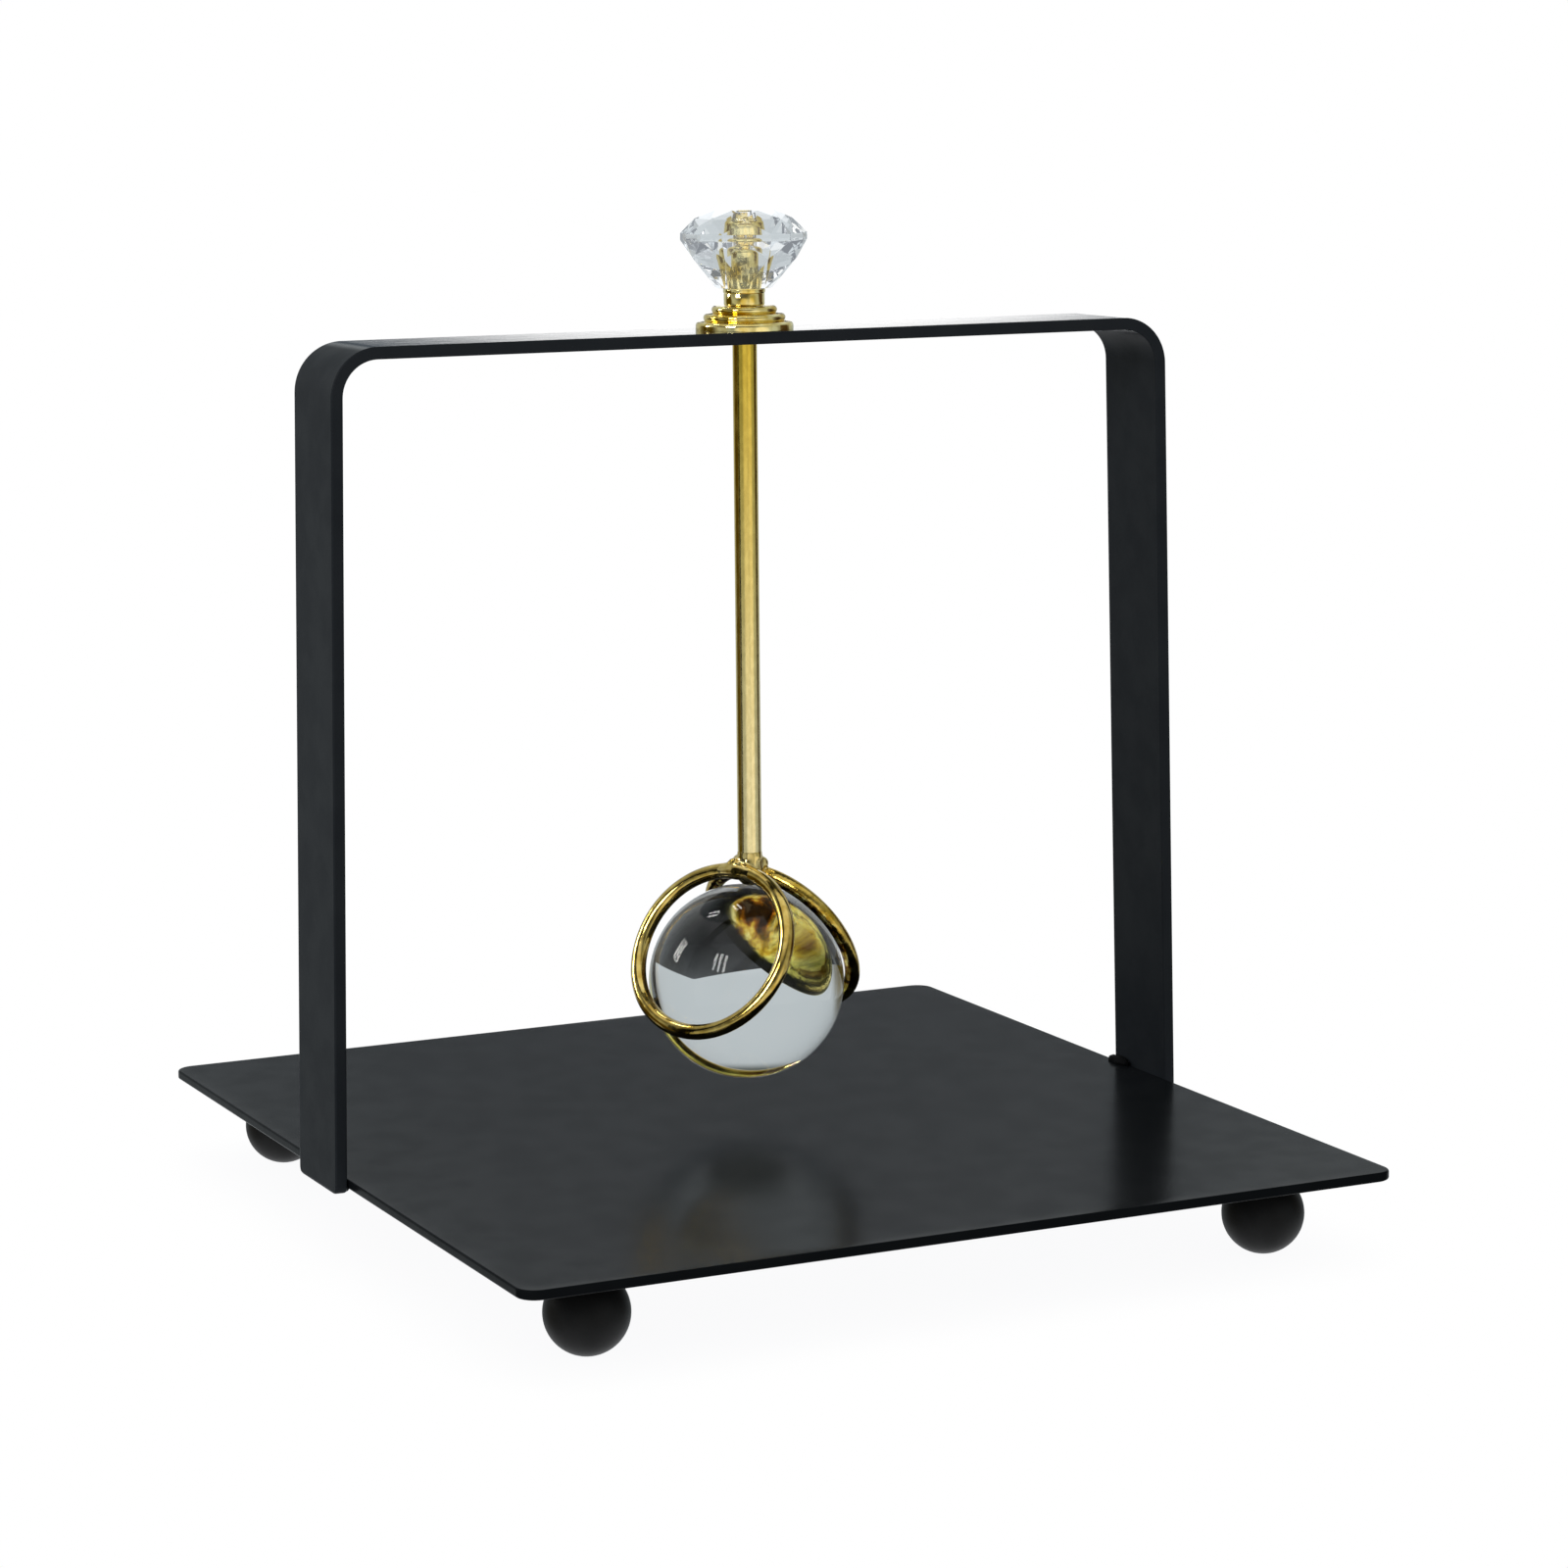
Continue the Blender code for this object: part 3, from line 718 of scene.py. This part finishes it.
def cut_crystal(clear):
    """Cut crystal: table, crown, girdle and blunt pavilion, its edges just broken."""
    top = CRYSTAL_HIGH.z
    girdle = CRYSTAL_HIGH.x
    bm = bmesh.new()
    facet_ring(bm, TABLE_RADIUS, top, CRYSTAL_FACETS, 0)
    facet_ring(bm, SHOULDER[0], top - SHOULDER[1], CRYSTAL_FACETS, 0.5)
    for depth in GIRDLE_DEPTHS:
        facet_ring(bm, girdle, top - depth, 2 * CRYSTAL_FACETS, 0)
    facet_ring(bm, PAVILION[0], top - PAVILION[1], CRYSTAL_FACETS, 0)
    facet_ring(bm, CULET_RADIUS, CRYSTAL_LOW.z, CRYSTAL_FACETS, 0.5)
    hull = bmesh.ops.convex_hull(bm, input=bm.verts)
    bmesh.ops.delete(bm, geom=hull["geom_interior"], context="VERTS")
    bmesh.ops.dissolve_limit(bm, angle_limit=math.radians(0.5), verts=bm.verts, edges=bm.edges)
    crystal = new_object("cut_crystal", bm, 0)
    bevel = crystal.modifiers.new("edges", "BEVEL")
    bevel.width = FACET_EDGE
    bevel.segments = 2
    bevel.limit_method = "ANGLE"
    bevel.angle_limit = math.radians(4)
    apply_modifiers(crystal)
    past = CRYSTAL_LOW.z - 2 * MM
    bore = [(0, past), (SPIGOT_RADIUS - TOUCH, past)]
    tip = (SPIGOT_RADIUS - SPIGOT_ROUNDING, FERRULE_HIGH.z - SPIGOT_ROUNDING)
    bore += arc(tip, SPIGOT_ROUNDING - TOUCH, 0, 75, 6)
    bore += [(STUD_RADIUS - TOUCH, FERRULE_HIGH.z), (STUD_RADIUS - TOUCH, STUD_HIGH.z - TOUCH)]
    bore += [(0, STUD_HIGH.z - TOUCH)]
    subtract(crystal, new_object("bore", turned(bore, 96), 60))
    finish_piece(crystal, "weight", "knob_glass", ["knob_crystal"], clear)


def ring_placement(centre, facing, looking_up):
    """Matrix that takes a ring lying flat round Z to its place beside the ball."""
    turn = Matrix.Rotation(math.radians(facing), 4, "Z")
    turn @= Matrix.Rotation(math.radians(90 - looking_up), 4, "Y")
    return Matrix.Translation(centre) @ turn


def wire_ring(name, node, placement, plating, seam=0.0):
    """Ring bent by hand from round wire; it wavers, and swells where its ends are brazed."""
    rounds, sides = 160, 28
    wobble = 0.06 * MM
    rings = []
    for i in range(rounds):
        angle = 2 * math.pi * i / rounds
        radius = RING_RADIUS + wobble * (math.sin(2 * angle + 1) + 0.5 * math.sin(5 * angle))
        drift = 0.6 * wobble * math.sin(3 * angle + 2)
        off_seam = (math.degrees(angle) - SEAM_ANGLE) / SEAM_SPREAD
        wire = WIRE_RADIUS + seam * math.exp(-off_seam ** 2)
        section = arc((radius, drift), wire, 0, 360, sides)[:-1]
        rings.append([(r * math.cos(angle), r * math.sin(angle), z) for r, z in section])
    bm = loft(rings, closed=True)
    bm.transform(placement)
    ring = new_object(name, bm, 180)
    finish_piece(ring, "weight", "ring_gold", [node], plating)


def blob(bm, centre, radius):
    """Add one small ball to a mesh that is melted together later."""
    ball = bmesh.ops.create_icosphere(bm, subdivisions=2, radius=radius)
    bmesh.ops.translate(bm, verts=ball["verts"], vec=centre)


def joint_lump(placements, plating):
    """Brazing run round the rod's end and over both rings, melted into one lump."""
    bm = bmesh.new()
    high = JOINT_TOP - GAP
    # A collar down the rod's end, a little wider with each step
    for i in range(9):
        blob(bm, (0, 0, high - i * 0.5 * MM), ROD_RADIUS + (0.15 + 0.06 * i) * MM)
    # A run over the top of each ring, thinner away from the middle, and its bridge to the rod
    for place in placements:
        for step in range(-7, 8):
            angle = math.pi + step * 0.032
            spot = place @ Vector((RING_RADIUS * math.cos(angle), RING_RADIUS * math.sin(angle), 0))
            blob(bm, spot, WIRE_RADIUS + (0.35 - 0.045 * abs(step)) * MM)
            if abs(step) < 4:
                blob(bm, spot * 0.55 + Vector((0, 0, high - 1.5 * MM)) * 0.45, 1.6 * MM)
    for x, y, z, radius in BRAZE_LOBES:
        blob(bm, Vector((x, y, z)) * MM, radius * MM)
    lump = new_object("braze_lump", bm, 180)
    remesh = lump.modifiers.new("melt", "REMESH")
    remesh.mode = "VOXEL"
    remesh.voxel_size = 0.22 * MM
    smooth = lump.modifiers.new("flow", "SMOOTH")
    smooth.iterations = 6
    smooth.factor = 0.6
    apply_modifiers(lump)
    lump.data.shade_smooth()
    finish_piece(lump, "weight", "ring_gold", ["ring_braze_joint"], plating)


def glass_ball(clear):
    """Ground and polished ball, from a cube whose points are pushed out to the radius."""
    bm = bmesh.new()
    bmesh.ops.create_cube(bm, size=2)
    bmesh.ops.subdivide_edges(bm, edges=bm.edges, cuts=47, use_grid_fill=True)
    for vert in bm.verts:
        even = Vector([math.tan(c * math.pi / 4) for c in vert.co])
        vert.co = BALL_CENTRE + even.normalized() * BALL_RADIUS
    ball = new_object("glass_ball", bm, 180)
    finish_piece(ball, "weight", "ball_glass", ["crystal_ball"], clear)


# ---------------------------------------------------------------- stage

def direction(azimuth, elevation):
    """Unit vector from the object; azimuth runs from the camera round to the camera's left."""
    turn = math.radians(CAMERA_YAW - azimuth)
    rise = math.radians(elevation)
    flat = math.cos(rise)
    return Vector((math.sin(turn) * flat, -math.cos(turn) * flat, math.sin(rise)))


def camera():
    """Camera at the place and angle that the constants give."""
    data = bpy.data.cameras.new("camera")
    data.lens = CAMERA_LENS
    made = bpy.data.objects.new("camera", data)
    bpy.context.scene.collection.objects.link(made)
    turn = Matrix.Rotation(math.radians(CAMERA_YAW), 4, "Z")
    turn @= Matrix.Rotation(math.radians(90 + CAMERA_PITCH), 4, "X")
    turn @= Matrix.Rotation(math.radians(CAMERA_ROLL), 4, "Z")
    made.matrix_world = Matrix.Translation(CAMERA_AT) @ turn
    bpy.context.scene.camera = made


def maths(nodes, links, operation, first, second):
    """Work out two values into one, held between 0 and 1."""
    made = nodes.new("ShaderNodeMath")
    made.operation = operation
    made.use_clamp = True
    links.new(first, made.inputs[0])
    links.new(second, made.inputs[1])
    return made.outputs["Value"]


def patch_mask(nodes, links, place, azimuth, elevation, core, edge):
    """How much of a soft round patch lies in the direction looked along, from 0 to 1."""
    dot = nodes.new("ShaderNodeVectorMath")
    dot.operation = "DOT_PRODUCT"
    links.new(place, dot.inputs[0])
    dot.inputs[1].default_value = direction(azimuth, elevation)
    span = nodes.new("ShaderNodeMapRange")
    span.interpolation_type = "SMOOTHSTEP"
    span.inputs["From Min"].default_value = math.cos(math.radians(edge))
    span.inputs["From Max"].default_value = math.cos(math.radians(core))
    links.new(dot.outputs["Value"], span.inputs["Value"])
    return span.outputs["Result"]


def lay_patch(nodes, links, room, mask, colour):
    """Lay a patch of colour over what the room already has."""
    mix = nodes.new("ShaderNodeMix")
    mix.data_type = "RGBA"
    links.new(mask, mix.inputs["Factor"])
    links.new(room, mix.inputs[MIX_FIRST])
    mix.inputs[MIX_SECOND].default_value = (*colour, 1)
    return mix.outputs[MIXED]


def world():
    """White behind the object; what the object itself sees is a pale room with soft patches."""
    made = bpy.data.worlds.new("studio")
    bpy.context.scene.world = made
    made.use_nodes = True
    nodes, links = made.node_tree.nodes, made.node_tree.links
    nodes.clear()
    place = nodes.new("ShaderNodeTexCoord").outputs["Generated"]
    ray = nodes.new("ShaderNodeLightPath").outputs
    reflected = maths(nodes, links, "SUBTRACT", ray["Is Glossy Ray"], ray["Is Transmission Ray"])
    walls = nodes.new("ShaderNodeRGB")
    walls.outputs["Color"].default_value = (*ROOM, 1)
    room = walls.outputs["Color"]
    for *where, colour in PATCHES:
        room = lay_patch(nodes, links, room, patch_mask(nodes, links, place, *where), colour)
    for *where, colour in REFLECTED_PATCHES:
        mask = patch_mask(nodes, links, place, *where)
        mask = maths(nodes, links, "MULTIPLY", mask, reflected)
        room = lay_patch(nodes, links, room, mask, colour)
    seen = nodes.new("ShaderNodeBackground")
    links.new(room, seen.inputs["Color"])
    white = nodes.new("ShaderNodeBackground")
    white.inputs["Color"].default_value = (1, 1, 1, 1)
    choose = nodes.new("ShaderNodeMixShader")
    links.new(ray["Is Camera Ray"], choose.inputs["Fac"])
    links.new(seen.outputs["Background"], choose.inputs[1])
    links.new(white.outputs["Background"], choose.inputs[2])
    output = nodes.new("ShaderNodeOutputWorld")
    links.new(choose.outputs["Shader"], output.inputs["Surface"])


def windows():
    """Tall windows, each of a few panes, that only polished things show."""
    for azimuth, elevation, width, height, brightness, panes in WINDOWS:
        way = direction(azimuth, elevation)
        turn = way.to_track_quat("Z", "Y")
        across = turn @ Vector((1, 0, 0))
        pitch = width / panes
        for i in range(panes):
            data = bpy.data.lights.new("pane", "AREA")
            data.shape = "RECTANGLE"
            data.size = pitch * (1 - WINDOW_BAR)
            data.size_y = height
            data.energy = brightness * data.size * height * math.pi
            made = bpy.data.objects.new("pane", data)
            bpy.context.scene.collection.objects.link(made)
            offset = across * pitch * (i - (panes - 1) / 2)
            made.location = BALL_CENTRE + way * WINDOW_DISTANCE + offset
            made.rotation_euler = turn.to_euler()
            made.visible_camera = False
            made.visible_transmission = False


def floor():
    """Wide pale floor that only the camera sees, with a painted shadow that darkens it a little
    close under the object.
    """
    half = 15
    corners = [(-half, -half, 0), (half, -half, 0), (half, half, 0), (-half, half, 0)]
    bm = bmesh.new()
    bm.faces.new([bm.verts.new(c) for c in corners])
    made = new_object("floor", bm, 0)
    mat = bpy.data.materials.new("floor")
    mat.use_nodes = True
    nodes, links = mat.node_tree.nodes, mat.node_tree.links
    nodes.clear()
    # Painted shadow: ambient occlusion darkens the floor's glow close under the object
    shade = nodes.new("ShaderNodeAmbientOcclusion")
    shade.inputs["Distance"].default_value = 40 * MM
    ramp = nodes.new("ShaderNodeValToRGB")
    ramp.color_ramp.elements[0].color = (0.94, 0.94, 0.95, 1)
    ramp.color_ramp.elements[1].color = (1, 1, 1, 1)
    ramp.color_ramp.elements[1].position = 0.8
    glow = nodes.new("ShaderNodeEmission")
    output = nodes.new("ShaderNodeOutputMaterial")
    links.new(shade.outputs["AO"], ramp.inputs["Fac"])
    links.new(ramp.outputs["Color"], glow.inputs["Color"])
    links.new(glow.outputs["Emission"], output.inputs["Surface"])
    made.data.materials.append(mat)
    made.visible_diffuse = False
    made.visible_glossy = False
    made.visible_transmission = False
    made.visible_shadow = False


# ---------------------------------------------------------------- the whole object

def build_frame():
    """Plate, arch, welds and feet in their powder coats."""
    plate_coat = powder_coat("plate powder coat", (0.0038, 0.0045, 0.0052),
                             (0.0050, 0.0057, 0.0064), 0.22, 0.004, glare=0.039,
                             grazing=(0.45, 0.7), specks=True)
    outer_coat = powder_coat("arch powder coat", (0.0105, 0.0122, 0.0146),
                             (0.0130, 0.0150, 0.0174), 0.42, 0.04, glare=0.9)
    # The inner and front coats are darker copies of the arch coat: painted shade
    inner_shade_coat = powder_coat("arch inner painted shade coat", (0.0060, 0.0062, 0.0065),
                             (0.0078, 0.0080, 0.0084), 0.5, 0.015)
    front_shade_coat = powder_coat("arch front painted shade coat", (0.0018, 0.0018, 0.0022),
                             (0.0026, 0.0026, 0.0030), 0.45, 0.005)
    foot_coat = powder_coat("foot powder coat", (0.007, 0.007, 0.007),
                            (0.010, 0.010, 0.010), 0.45, 0.10)
    # Painted shade: the inner faces darken towards the plate
    paint_shade_down(inner_shade_coat, PLATE_HIGH.z, ARCH_HIGH.z, 0.5)
    plate_sheet(plate_coat.material)
    arch_strap(outer_coat.material, inner_shade_coat.material, front_shade_coat.material)
    for side, name in ((-1, "left"), (1, "right")):
        weld_bead(side, name + "_leg_weld", outer_coat.material)
        # The tack drops take the darker inner coat, which is painted shade
        tack_drop(side, name + "_leg_tack", inner_shade_coat.material)
    for row in ("front", "rear"):
        for column in ("left", "right"):
            ball_foot(row, column, foot_coat.material)


def build_weight():
    """Rod, knob, rings, brazing and ball in their platings and glass."""
    knob_gold = gold("knob plating", (0.68, 0.45, 0.05), (0.98, 0.86, 0.42), 0.05,
                     0.12 * MM).material
    joint_gold = gold("brazing", (0.55, 0.38, 0.08), (0.86, 0.70, 0.32), 0.08, 0.10 * MM)
    ring_gold = gold("ring plating", (0.44, 0.27, 0.02), (0.76, 0.56, 0.15), 0.08)
    lacquer(ring_gold)
    swirled_gold = gold("swirled plating with painted highlights", (0.40, 0.25, 0.02), (0.66, 0.48, 0.12), 0.12)
    swirls_with_painted_highlights(swirled_gold)
    rod(rod_gold())
    flange(knob_gold)
    ferrule(knob_gold)
    stud(knob_gold)
    # The knob crystal carries a faint painted glow
    cut_crystal(glass("knob crystal", 1.54, (0.99, 0.995, 1.0), 1.0, glow=0.045))
    placements = [ring_placement(*FRONT_RING), ring_placement(*REAR_RING)]
    wire_ring("wire_ring_front", "ring_front", placements[0], ring_gold.material)
    wire_ring("wire_ring_rear", "ring_rear", placements[1], swirled_gold.material,
              SEAM_SWELLING)
    joint_lump(placements, joint_gold.material)
    glass_ball(glass("ball crystal", 1.49, (0.97, 0.985, 0.99), 0.3))


def build_studio():
    """Camera, light and floor."""
    camera()
    world()
    windows()
    floor()
    bpy.context.scene.view_settings.view_transform = "Standard"


build_frame()
build_weight()
build_studio()
